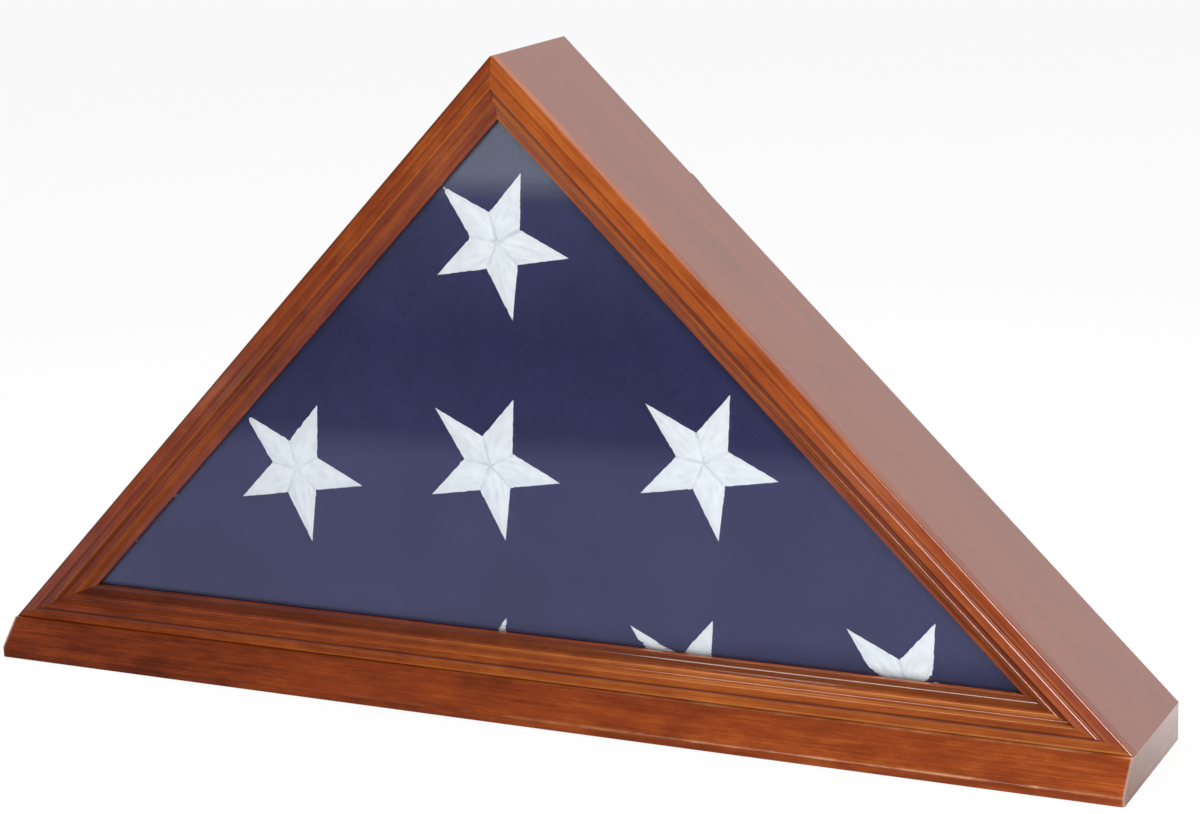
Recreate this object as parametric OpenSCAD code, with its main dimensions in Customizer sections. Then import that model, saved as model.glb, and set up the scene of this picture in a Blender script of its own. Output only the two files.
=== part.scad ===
// Display case for a folded flag.
// A right-angled triangular box of three mitred boards stands on a bevelled plinth. A mitred
// moulding with a moulded face frames its glass front, and a thin panel, held by four turn
// buttons, closes its back. The folded flag stands inside, close behind the glass.
// X runs to the right, Y to the back, Z up. The origin is under the middle of the plinth.

/* [Case] */
// Overall width, across the plinth and the two lower corners of the case
case_w = 660; // [600:1:760]
// Thickness of the three case boards
board_t = 19; // [17:0.5:22]
// Width of the case boards, front to back
board_d = 76; // [70:1:100]
// Width of the land that the rebate leaves round the back
land_w = 9.5; // [9:0.1:11]
// Depth of the rebate that the back panel lies in
rebate_d = 3.5; // [3.3:0.1:6]
// Radius of the eased edges of the boards
eased_r = 1.2; // [0.5:0.1:2]

/* [Plinth] */
// Thickness of the plinth board
plinth_t = 19.5; // [18:0.5:26]
// How far the foot of the plinth stands in front of the frame
foot_reach = 16.4; // [10:0.1:24]
// How far the top edge of the bevel stands in front of the frame
top_reach = 1.7; // [1:0.1:4]
// Height of the upright foot below the bevel
foot_h = 4.4; // [3:0.1:8]

/* [Frame moulding] */
// Width of the moulding's face, from outer edge to sight edge
face_w = 23.2; // [22.4:0.1:26]
// Thickness of the moulding at its outer edge
edge_t = 6; // [5:0.1:8]
// Thickness of the lip at the sight edge
lip_t = 2.5; // [2:0.1:3.5]

/* [Glass and panel] */
// Thickness of the glass
glass_t = 2; // [1.5:0.1:3]
// Thickness of the back panel
panel_t = 3.2; // [2.5:0.1:3.4]
// Play round the glass and round the back panel
pane_play = 0.6; // [0.3:0.1:1]

/* [Flag] */
// Depth of the folded flag
flag_d = 56; // [40:1:60]
// Play between the folded flag and the boards
flag_play = 1.2; // [0.8:0.1:3]
// Radius of the flag's soft corners
flag_r = 5; // [3:0.5:10]
// Distance from a star's middle to its tips
star_r = 41; // [30:1:50]

/* [Fasteners] */
// Length of a turn button
button_len = 26; // [22:1:32]
// Width of a turn button
button_w = 8; // [7:0.5:8.5]
// Thickness of a turn button at its thickest
button_t = 2.2; // [1.6:0.1:3]
// Length of the screws that hold the plinth
plinth_screw_len = 32; // [26:1:34]

/* [Hidden] */
$fn = 48;

// Screw head of a turn button: radius, height over the button, and shank radius
head_r = 3;
head_h = 1.2;
shank_r = 1.5;
shank_len = 14;
// Gap under a turn button and under its screw's head
button_gap = 0.1;
// Height of the seat that a button's screw head bears on
seat_h = 1.1;
// Running clearance of a turn button on its screw
button_bore_play = 0.08;

// Places from front to back
hardware_proud = 2 * button_gap + button_t + head_h;
plinth_d = foot_reach + edge_t + board_d;
foot_y = -(plinth_d + hardware_proud) / 2;
frame_y = foot_y + foot_reach;
board_y = frame_y + edge_t;
back_y = board_y + board_d;
glass_back_y = board_y + glass_t;
star_t = 0.3;
flag_y = glass_back_y + star_t + 0.3;
panel_y = back_y - rebate_d + 0.1;

// Colours of the pieces
wood_rail = "#8a3a1c";
wood_side = "#96502f";
wood_pale = "#b98a5e";
brass = "#b08d4a";
steel = "#9a9da0";
navy = "#34365a";

// ---------- the triangle and what follows it ----------

// The case's outline is a triangle with 45 degree corners and a right angle at its top.
// Half width of the case's triangle at its base, moved in by inset
function half_base(inset) = case_w / 2 - inset * (1 + sqrt(2));

// Corners of the case's triangle, moved in by inset: left, right, top
function triangle(inset) = [
    [-half_base(inset), plinth_t + inset],
    [half_base(inset), plinth_t + inset],
    [0, plinth_t + case_w / 2 - inset * sqrt(2)]
];

// Upright prism between two planes across Y, from an outline in X and Z
module upright(y0, y1) {
    translate([0, y1, 0])
        rotate([90, 0, 0])
            linear_extrude(y1 - y0)
                children();
}

// Triangular plate that follows the case's outline
module plate(inset, y0, y1) {
    upright(y0, y1)
        polygon(triangle(inset));
}

// Stretch of the triangle's border that belongs to side k: 0 bottom, 1 right, 2 left.
// It ends on the two mitre planes.
module mitred_border(k, width) {
    outer = triangle(0);
    inner = triangle(width);
    j = (k + 1) % 3;
    upright(foot_y - 1, back_y + 1)
        polygon([outer[k], outer[j], inner[j], inner[k]]);
}

// Puts its children, which stand on the middle of the bottom side, on side k
module on_side(k) {
    corner = triangle(0);
    middle = (corner[k] + corner[(k + 1) % 3]) / 2;
    turn = [0, -135, 135][k];
    translate([middle.x, 0, middle.y])
        rotate([0, turn, 0])
            children();
}

// Lays a length of milled stock along side k and cuts its two mitres. The stock runs along Z:
// X goes in from the outer edge, and Y goes forward from the plane of the frame's front edge.
module milled_side(k, width) {
    intersection() {
        on_side(k)
            translate([0, frame_y, 0])
                rotate([180, -90, 0])
                    children();
        mitred_border(k, width);
    }
}

// ---------- milled stock ----------

stock_len = case_w + 20;

// A round or a hollow that runs the length of the stock
module stock_round(mid, r, len = stock_len) {
    translate(mid)
        cylinder(h = len, r = r, center = true);
}

// Direction, square to it, of the straight run that touches circle a and then circle b,
// both on its right-hand side when it is walked from a to b. A point is a circle of radius 0.
function touch(a, ra, b, rb) =
    let (way = atan2(b.y - a.y, b.x - a.x) + acos((ra - rb) / norm(b - a)))
    [cos(way), sin(way)];

// End of such a run, a hair inside its circle, so that the two surfaces cross
function just_inside(mid, r, way) = mid + (r - 0.01) * way;

// Frame moulding. Its face, from the outer edge: sloping band, shallow quirk, round, cove, bead,
// sweep, and a flat lip that ends at the sight edge.
module moulding_stock() {
    lip = lip_t - edge_t;
    quirk = [face_w - 16.6, 0.62];
    band_r = 0.6;
    band_mid = quirk + [-1.15, -0.42];
    // the round has a large radius on its outer side and a small one on its inner side
    outer_r = 1.25;
    outer_mid = quirk + [1.5, 0.38];
    inner_r = 0.65;
    inner_mid = quirk + [4.6, 1.43];
    cove_r = 2.4;
    cove_mid = inner_mid + [inner_r + cove_r, 0];
    bead_r = 1.1;
    bead_mid = cove_mid + [1.5, -2.95];
    sweep_r = 4.9;
    sweep_mid = [bead_mid.x + bead_r + sweep_r, lip + sweep_r];
    edge_r = 1;
    edge_mid = [edge_r, -0.85];
    sight_r = 0.5;
    sight_mid = [face_w - sight_r, lip - sight_r];
    band = touch(edge_mid, edge_r, band_mid, band_r);
    fall = touch(band_mid, band_r, quirk, 0);
    rise = touch(quirk, 0, outer_mid, outer_r);
    top = touch(outer_mid, outer_r, inner_mid, inner_r);
    difference() {
        union() {
            linear_extrude(stock_len, center = true)
                polygon([
                    [0, -edge_t],
                    edge_mid - [edge_r, 0],
                    just_inside(edge_mid, edge_r, band),
                    just_inside(band_mid, band_r, band),
                    just_inside(band_mid, band_r, fall),
                    quirk,
                    just_inside(outer_mid, outer_r, rise),
                    just_inside(outer_mid, outer_r, top),
                    just_inside(inner_mid, inner_r, top),
                    inner_mid + [inner_r, 0],
                    [cove_mid.x, inner_mid.y],
                    [cove_mid.x, cove_mid.y - cove_r],
                    [bead_mid.x, cove_mid.y - cove_r],
                    bead_mid + [bead_r, 0],
                    [sweep_mid.x, bead_mid.y],
                    [sweep_mid.x, lip],
                    [sight_mid.x, lip],
                    [face_w, sight_mid.y],
                    [face_w, -edge_t]
                ]);
            stock_round(edge_mid, edge_r);
            stock_round(band_mid, band_r);
            stock_round(outer_mid, outer_r);
            stock_round(inner_mid, inner_r);
            stock_round(bead_mid, bead_r);
            stock_round(sight_mid, sight_r);
        }
        stock_round(cove_mid, cove_r, stock_len + 2);
        stock_round(sweep_mid, sweep_r, stock_len + 2);
    }
}

// Case board: full thickness, with the rebate for the back panel and an eased back edge
module board_stock() {
    front = -edge_t;
    back = front - board_d;
    union() {
        linear_extrude(stock_len, center = true)
            polygon([
                [0, front],
                [0, back + eased_r],
                [eased_r, back],
                [land_w, back],
                [land_w, back + rebate_d],
                [board_t, back + rebate_d],
                [board_t, front]
            ]);
        stock_round([eased_r, back + eased_r], eased_r);
    }
}

// Plinth, seen from its right end: X to the back, Y up. An upright foot, then a bevel.
module plinth_section() {
    bevel_run = foot_reach - top_reach;
    bevel_rise = plinth_t - foot_h;
    edge_r = 1.4;
    // distance from an eased corner back along its edges, for the two blunt angles
    top_cut = edge_r * tan(atan2(bevel_rise, bevel_run) / 2);
    foot_cut = edge_r * tan((90 - atan2(bevel_rise, bevel_run)) / 2);
    along = [bevel_run, bevel_rise] / norm([bevel_run, bevel_rise]);
    foot_corner = [0, foot_h];
    top_corner = [bevel_run, plinth_t];
    translate([foot_y, 0]) {
        polygon([
            [0, 0],
            [plinth_d, 0],
            [plinth_d, plinth_t],
            top_corner + [top_cut, 0],
            top_corner - along * top_cut,
            foot_corner + along * foot_cut,
            foot_corner - [0, foot_cut]
        ]);
        translate([top_corner.x + top_cut, plinth_t - edge_r])
            circle(edge_r);
        translate([edge_r, foot_h - foot_cut])
            circle(edge_r);
    }
}

// ---------- joinery inside the case ----------

// Splines in the mitres of the boards: thin strips across each mitre, stopped short of the
// front and the back
spline_t = 3;
spline_w = 12;
spline_y0 = board_y + 12;
spline_y1 = back_y - 16;

module corner_spline(k) {
    outer = triangle(0)[k];
    inner = triangle(board_t)[k];
    middle = outer + (inner - outer) * (k == 2 ? 0.5 : 0.78);
    lean = atan2(inner.y - outer.y, inner.x - outer.x);
    upright(spline_y0, spline_y1)
        translate(middle)
            rotate(lean)
                square([spline_t, spline_w], center = true);
}

module all_splines() {
    for (k = [0 : 2])
        corner_spline(k);
}

// V-nails let into the back of the moulding across each mitre
nail_leg = 6;
nail_t = 0.5;
nail_h = 3.2;

module mitre_nail(k) {
    outer = triangle(0)[k];
    inner = triangle(board_t)[k];
    middle = outer + (inner - outer) * 0.62;
    lean = atan2(inner.y - outer.y, inner.x - outer.x);
    upright(board_y - nail_h, board_y)
        translate(middle)
            rotate(lean)
                for (side = [-1, 1])
                    rotate(side * 55)
                        translate([0, -nail_t / 2])
                            square([nail_leg, nail_t]);
}

module all_mitre_nails() {
    for (k = [0 : 2])
        mitre_nail(k);
}

// Brads that pin the moulding to the boards, sunk below the moulding's face
brad_r = 0.7;
brad_len = 22;
brad_in = 9.5;
brad_places = [-0.34, 0, 0.34];

module frame_brad(k, place) {
    side_len = k == 0 ? case_w : case_w / sqrt(2);
    on_side(k)
        translate([place * side_len, frame_y + 1.5, brad_in])
            rotate([-90, 0, 0])
                cylinder(h = brad_len, r = brad_r);
}

module all_brads() {
    for (k = [0 : 2], place = brad_places)
        frame_brad(k, place);
}

// Glazing points: thin steel lozenges pressed into the boards behind the glass
point_w = 10;
point_depth = 9;
point_t = 0.6;
point_places = [-0.27, 0.27];

module glazing_point(k, place) {
    side_len = k == 0 ? case_w : case_w / sqrt(2);
    on_side(k)
        translate([place * side_len, glass_back_y + point_t, board_t])
            rotate([90, 0, 0])
                linear_extrude(point_t)
                    polygon([
                        [-point_w / 2, 0],
                        [0, -point_depth / 2],
                        [point_w / 2, 0],
                        [0, 0.9]
                    ]);
}

module all_glazing_points() {
    for (k = [0 : 2], place = point_places)
        glazing_point(k, place);
}

// Countersunk screws up through the plinth into the bottom board
plinth_screw_r = 2.1;
plinth_screw_head_r = 4.2;
plinth_screw_sink = 0.6;
plinth_screw_places = [-0.36, -0.12, 0.12, 0.36];

module plinth_screw(place) {
    translate([place * case_w, (board_y + back_y) / 2, plinth_screw_sink]) {
        cylinder(h = 3, r1 = plinth_screw_head_r, r2 = plinth_screw_r);
        cylinder(h = plinth_screw_len, r = plinth_screw_r);
    }
}

module plinth_screw_hole(place) {
    plinth_screw(place);
    translate([place * case_w, (board_y + back_y) / 2, -1])
        cylinder(h = 1 + plinth_screw_sink, r = plinth_screw_head_r);
}

// ---------- turn buttons ----------

// A button's screw stands in the middle of the land, and the button lies along it.
// Each place is the side, the distance from that side's middle, and the way the arm points.
button_r = button_w / 2;
button_inset = land_w / 2;
leg_len = case_w / sqrt(2);
button_from_top = 101;
left_place = [2, button_from_top - leg_len / 2, 1];
right_place = [1, leg_len / 2 - button_from_top, -1];
bottom_left_place = [0, -0.22 * case_w, 1];
bottom_right_place = [0, 0.22 * case_w, -1];

module at_button(place) {
    on_side(place[0])
        translate([place[1], back_y, button_inset])
            rotate([0, place[2] < 0 ? 180 : 0, 0])
                rotate([-90, 0, 0])
                    children();
}

// Arm with a round end at the screw and a smaller one at its tip, domed along its length
module turn_button(place) {
    tip_r = button_r * 0.72;
    reach = button_len - button_r - tip_r;
    dome_r = (button_len * button_len / 4) / (2 * (button_t - 1)) + (button_t - 1) / 2;
    at_button(place)
        translate([0, 0, button_gap])
            difference() {
                intersection() {
                    linear_extrude(button_t)
                        union() {
                            circle(button_r);
                            translate([reach, 0])
                                circle(tip_r);
                            polygon([[0, -button_r], [reach, -tip_r], [reach, tip_r], [0, button_r]]);
                        }
                    translate([button_len / 2 - button_r, 0, button_t - dome_r])
                        rotate([90, 0, 0])
                            cylinder(h = button_w + 4, r = dome_r, center = true, $fn = 180);
                }
                translate([0, 0, -1])
                    cylinder(h = button_t + 2, r = shank_r + button_bore_play);
                // flat seat round the hole for the screw's head
                translate([0, 0, seat_h])
                    cylinder(h = button_t, r = head_r + 0.2);
            }
}

// Round-headed screw with a slot, its shank in the board
module turn_button_screw(place) {
    bottom = button_gap + seat_h + button_gap;
    top = hardware_proud;
    dome = top - bottom;
    ball_r = (head_r * head_r + dome * dome) / (2 * dome);
    at_button(place) {
        difference() {
            translate([0, 0, bottom])
                intersection() {
                    cylinder(h = dome + 1, r = head_r);
                    translate([0, 0, dome - ball_r])
                        sphere(ball_r, $fn = 96);
                }
            translate([-head_r - 1, -0.35, top - 0.7])
                cube([2 * head_r + 2, 0.7, 2]);
        }
        translate([0, 0, -shank_len])
            cylinder(h = shank_len + bottom + 0.2, r = shank_r);
    }
}

module screw_hole(place) {
    at_button(place)
        translate([0, 0, -shank_len])
            cylinder(h = shank_len + 1, r = shank_r);
}

// ---------- the pieces ----------

module plinth_board() {
    corner_r = 2;
    color(wood_rail)
        difference() {
            intersection() {
                rotate([90, 0, 90])
                    linear_extrude(case_w, center = true)
                        plinth_section();
                // eased upright corners
                translate([0, foot_y + plinth_d / 2, -1])
                    linear_extrude(plinth_t + 2)
                        union() {
                            square([case_w, plinth_d - 2 * corner_r], center = true);
                            square([case_w - 2 * corner_r, plinth_d], center = true);
                            for (x = [-1, 1], y = [-1, 1])
                                translate([x * (case_w / 2 - corner_r), y * (plinth_d / 2 - corner_r)])
                                    circle(corner_r);
                        }
            }
            for (place = plinth_screw_places)
                plinth_screw_hole(place);
        }
}

// Case board k with the cuts that its joinery and fasteners need
module case_board(k) {
    difference() {
        milled_side(k, board_t)
            board_stock();
        all_splines();
        for (place = brad_places)
            frame_brad(k, place);
        for (place = point_places)
            glazing_point(k, place);
        children();
    }
}

// Eases the ridge where the two sides meet at the top
module top_ridge_cut() {
    top = triangle(0)[2];
    upright(foot_y - 1, back_y + 1)
        difference() {
            translate(top)
                rotate(45)
                    square(2 * eased_r * tan(22.5) + 0.6, center = true);
            translate(top - [0, eased_r * sqrt(2)])
                circle(eased_r);
            translate(top - [20, 30])
                square([40, 30 - eased_r / sqrt(2)]);
        }
}

module case_left_side() {
    color(wood_side)
        case_board(2) {
            screw_hole(left_place);
            top_ridge_cut();
        }
}

module case_right_side() {
    color(wood_side)
        case_board(1) {
            screw_hole(right_place);
            top_ridge_cut();
        }
}

module case_bottom_board() {
    color(wood_side)
        case_board(0) {
            screw_hole(bottom_left_place);
            screw_hole(bottom_right_place);
            for (place = plinth_screw_places)
                plinth_screw(place);
        }
}

module corner_splines() {
    color(wood_pale)
        all_splines();
}

module frame_rail(k) {
    color(wood_rail)
        difference() {
            milled_side(k, face_w)
                moulding_stock();
            all_mitre_nails();
            for (place = brad_places)
                frame_brad(k, place);
            children();
        }
}

module frame_left_rail() {
    frame_rail(2)
        top_ridge_cut();
}

module frame_right_rail() {
    frame_rail(1)
        top_ridge_cut();
}

module frame_bottom_rail() {
    frame_rail(0);
}

module mitre_nails() {
    color(steel)
        all_mitre_nails();
}

module frame_brads() {
    color(steel)
        all_brads();
}

module glass_pane() {
    // the two sharp corners are nipped off, as a glazier does
    nip = 8;
    inset = board_t + pane_play;
    color("#dfe9ea", 0.3)
        intersection() {
            plate(inset, board_y, glass_back_y);
            translate([0, 0, case_w / 2])
                cube([2 * (half_base(inset) - nip), 2 * board_d, case_w + 2], center = true);
        }
}

module glazing_points() {
    color(steel)
        all_glazing_points();
}

// Outline of the folded flag: the inside of the case less the play, with soft corners
module flag_outline(shrink) {
    round_r = flag_r - shrink;
    middles = triangle(board_t + flag_play + flag_r);
    union() {
        polygon([
            middles[0] - [0, round_r],
            middles[1] - [0, round_r],
            middles[1] + round_r * [1, 1] / sqrt(2),
            middles[2] + round_r * [1, 1] / sqrt(2),
            middles[2] + round_r * [-1, 1] / sqrt(2),
            middles[0] + round_r * [-1, 1] / sqrt(2)
        ]);
        for (middle = middles)
            translate(middle)
                circle(round_r);
    }
}

module folded_flag() {
    color(navy)
        upright(flag_y, flag_y + flag_d)
            flag_outline(0);
}

// The stars follow the flag's own rows and columns, which lie slantwise on the folded face
star_turn = 45.2;
star_column = 92.8;
star_row = 77;
star_first = [-17, 133];

module star() {
    inner_r = star_r * cos(72) / cos(36);
    polygon([
        for (i = [0 : 9])
            (i % 2 == 0 ? star_r : inner_r) * [cos(90 + 36 * i), sin(90 + 36 * i)]
    ]);
}

module flag_stars() {
    color("#e6ebef")
        upright(flag_y - star_t, flag_y)
            intersection() {
                flag_outline(1.5);
                for (i = [-3 : 3], j = [-3 : 3])
                    if ((i + j) % 2 == 0)
                        translate(star_first)
                            rotate(star_turn)
                                translate([i * star_column, j * star_row])
                                    star();
            }
}

module back_panel() {
    color(wood_pale)
        intersection() {
            plate(land_w + pane_play, panel_y, panel_y + panel_t);
            translate([0, 0, case_w / 2])
                cube([2 * (half_base(land_w + pane_play) - 3), 2 * board_d, case_w + 2], center = true);
        }
}

module turn_button_left() {
    color(brass)
        turn_button(left_place);
}

module turn_button_right() {
    color(brass)
        turn_button(right_place);
}

module turn_button_bottom_left() {
    color(brass)
        turn_button(bottom_left_place);
}

module turn_button_bottom_right() {
    color(brass)
        turn_button(bottom_right_place);
}

module turn_button_screws() {
    color(brass)
        for (place = [left_place, right_place, bottom_left_place, bottom_right_place])
            turn_button_screw(place);
}

module plinth_screws() {
    color(steel)
        for (place = plinth_screw_places)
            plinth_screw(place);
}

plinth_board();
case_left_side();
case_right_side();
case_bottom_board();
corner_splines();
frame_left_rail();
frame_right_rail();
frame_bottom_rail();
mitre_nails();
frame_brads();
glass_pane();
glazing_points();
folded_flag();
flag_stars();
back_panel();
turn_button_left();
turn_button_right();
turn_button_bottom_left();
turn_button_bottom_right();
turn_button_screws();
plinth_screws();
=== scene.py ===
# %% [markdown]
# # A display case for a folded flag
#
# This lesson dresses a wooden, glass-fronted case on its bevelled plinth. The hard parts
# (boards, moulding, glass, panel, turn buttons) come in from the CAD frame with their exact
# shapes, and get their finishes here. The folded flag and its embroidered stars are soft, so
# they are modelled here from scratch.
#
# All lengths are in metres. X runs to the right, Y to the back, Z up, and the origin is under
# the middle of the plinth.

import math

import bmesh
import bpy
from mathutils import Matrix, Vector, noise


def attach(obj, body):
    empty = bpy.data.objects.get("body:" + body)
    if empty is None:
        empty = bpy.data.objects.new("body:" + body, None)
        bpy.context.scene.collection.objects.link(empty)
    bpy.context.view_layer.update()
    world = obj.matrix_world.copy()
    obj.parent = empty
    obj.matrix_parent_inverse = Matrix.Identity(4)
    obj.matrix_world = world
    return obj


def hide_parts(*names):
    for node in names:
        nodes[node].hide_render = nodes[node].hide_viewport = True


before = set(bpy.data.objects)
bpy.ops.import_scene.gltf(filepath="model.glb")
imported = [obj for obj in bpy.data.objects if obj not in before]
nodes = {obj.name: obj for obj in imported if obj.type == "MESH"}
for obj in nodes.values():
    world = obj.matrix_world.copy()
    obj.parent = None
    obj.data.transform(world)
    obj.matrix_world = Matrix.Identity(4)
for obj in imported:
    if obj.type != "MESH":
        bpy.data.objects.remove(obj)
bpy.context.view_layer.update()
scene = bpy.context.scene
scene.view_settings.view_transform = "Standard"

# %% [markdown]
# ## The camera
#
# The case is seen from the front right and a little above, with the camera tipped about two
# and a half degrees. A camera looks along its own -Z, so its rotation is built from three
# directions: where it looks, its right and its up. Building them as a matrix keeps the small
# tip exact, which is hard to do with a Track To constraint.


# %% Camera
eye = Vector((0.68131, -1.28265, 0.52047))
look = Vector((-0.43634, 0.86660, -0.24209)).normalized()
level = look.cross(Vector((0, 0, 1))).normalized()
tip = math.radians(-2.4578)
right = level * math.cos(tip) + level.cross(look) * math.sin(tip)
up = right.cross(look)

camera_data = bpy.data.cameras.new("case_camera")
camera_data.sensor_width = 36
camera_data.lens = 85.25
camera = bpy.data.objects.new("case_camera", camera_data)
camera.matrix_world = Matrix.Translation(eye) @ Matrix((right, up, -look)).transposed().to_4x4()
scene.collection.objects.link(camera)
scene.camera = camera
print("camera", [round(v, 3) for v in eye], "lens", camera_data.lens)

# %% [markdown]
# ## A small helper for shader maths
#
# Finishes such as wood are sums and masks of many patterns. Written node by node they are hard
# to read, so one small class stands for a node's output. Adding or multiplying two of these
# wires adds the Math node for it, and every other node comes from the method `node`.


# %% The wire class
class Wire:
    """One output socket in a material's node tree."""

    def __init__(self, tree, socket):
        self.tree = tree
        self.socket = socket

    def node(self, kind, settings, sockets, output=0):
        """Adds a node, sets its settings, fills its sockets with values or wires."""
        made = self.tree.nodes.new(kind)
        for key, value in settings.items():
            if key == "stops":
                ramp = made.color_ramp
                while len(ramp.elements) < len(value):
                    ramp.elements.new(0.5)
                for stop, (place, colour) in zip(ramp.elements, value):
                    stop.position = place
                    stop.color = colour if hasattr(colour, "__len__") else (colour,) * 3 + (1,)
            else:
                setattr(made, key, value)
        for key, value in sockets.items():
            if isinstance(value, Wire):
                self.tree.links.new(value.socket, made.inputs[key])
            else:
                made.inputs[key].default_value = value
        return Wire(self.tree, made.outputs[output])

    def maths(self, operation, *values):
        """A Math node on these values, which is where the arithmetic below comes from."""
        return self.node("ShaderNodeMath", {"operation": operation}, dict(enumerate(values)))

    def __add__(self, other):
        return self.maths("ADD", self, other)

    def __sub__(self, other):
        return self.maths("SUBTRACT", self, other)

    def __rsub__(self, other):
        return self.maths("SUBTRACT", other, self)

    def __mul__(self, other):
        return self.maths("MULTIPLY", self, other)

    def sine(self):
        return self.maths("SINE", self)

    def size(self):
        """How far the value is from 0."""
        return self.maths("ABSOLUTE", self)

    def step(self, low, high):
        """0 below low, 1 above high, and smooth between them."""
        settings = {"interpolation_type": "SMOOTHSTEP"}
        return self.node("ShaderNodeMapRange", settings, {"Value": self, 1: low, 2: high})

    def noise(self, scale, detail=2.0, roughness=0.5):
        """A cloudy pattern, from about 0.2 to 0.8, in this place."""
        sockets = {"Vector": self, "Scale": scale, "Detail": detail, "Roughness": roughness}
        return self.node("ShaderNodeTexNoise", {}, sockets)

    def stretched(self, factors):
        """This place with each axis multiplied, so that a pattern shrinks along it."""
        return self.node("ShaderNodeVectorMath", {"operation": "MULTIPLY"}, {0: self, 1: factors})

    def along(self, direction):
        """How far a point lies along a direction."""
        settings = {"operation": "DOT_PRODUCT"}
        return self.node("ShaderNodeVectorMath", settings, {0: self, 1: direction}, "Value")

    def ramp(self, *stops):
        """A colour for each value, between stops of (value, colour or grey)."""
        return self.node("ShaderNodeValToRGB", {"stops": stops}, {"Fac": self})

    def tint(self, factor, other):
        """Mixes another colour into this one."""
        sockets = {0: factor, 6: self, 7: other}
        return self.node("ShaderNodeMix", {"data_type": "RGBA"}, sockets, 2)

    def bump(self, height, strength=1.0):
        """A bump of this height field, whose values are 0 to 1 and stand for height in metres."""
        return self.node(
            "ShaderNodeBump", {}, {"Height": self, "Distance": height, "Strength": strength}
        )


print("wire class ready")


# %% Starting and ending a material
def new_material(name):
    """An empty material, and a wire to the object's own coordinates."""
    made = bpy.data.materials.new(name)
    made.use_nodes = True
    tree = made.node_tree
    tree.nodes.clear()
    place = Wire(tree, tree.nodes.new("ShaderNodeTexCoord").outputs["Object"])
    return made, place


def principled(place, **sockets):
    """Ends a material in a Principled BSDF. Socket names are written with _ for a space."""
    named = {key.replace("_", " "): value for key, value in sockets.items()}
    surface = place.node("ShaderNodeBsdfPrincipled", {}, named)
    output = place.tree.nodes.new("ShaderNodeOutputMaterial")
    place.tree.links.new(surface.socket, output.inputs["Surface"])


print("material helpers ready")

# %% [markdown]
# ## Stained and lacquered wood
#
# The case is a close-grained hardwood, stained to a red cherry and sprayed with gloss lacquer.
# Several scales make it look right: a slow drift and small blotches in the stain, growth lines
# a few millimetres apart, fibres, and fine dark pores. All are noises that are stretched along
# the board, so each board first turns its coordinates until the grain runs along its own X.
# An image of wood could do the same, but it would repeat and would not turn at the mitres.
#
# Stain also gathers in the grooves of a moulding and wears thin on its ridges. Painted shade and
# painted highlights are laid over the same places: the grooves and the inner lip are darkened
# beyond the stain as painted shade, and thin lines along the ridges are made paler as painted
# highlights, more so to the right. So one colour is darkened and another laid on by how far a
# point lies across the moulding's face.

# %% Wood finish
DEEP = (0.080, 0.011, 0.0020, 1)
RED = (0.215, 0.036, 0.005, 1)
ORANGE = (0.440, 0.112, 0.014, 1)
# Stain that gathers in the moulding's grooves and inner lip, and painted shade there too.
POOLED_AND_SHADED = (0.035, 0.006, 0.002, 1)
# Stain worn thin on the moulding's ridges, and painted highlights along them too.
RUBBED_AND_HIGHLIT = (0.66, 0.27, 0.07, 1)
# Wear on the plinth's edges, and painted highlights along them too.
WORN_AND_HIGHLIT = (0.66, 0.36, 0.16, 1)
# A painted grey reflection on the plinth's sawn ends.
END_REFLECTION_GREY = (0.44, 0.36, 0.33, 1)


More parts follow.
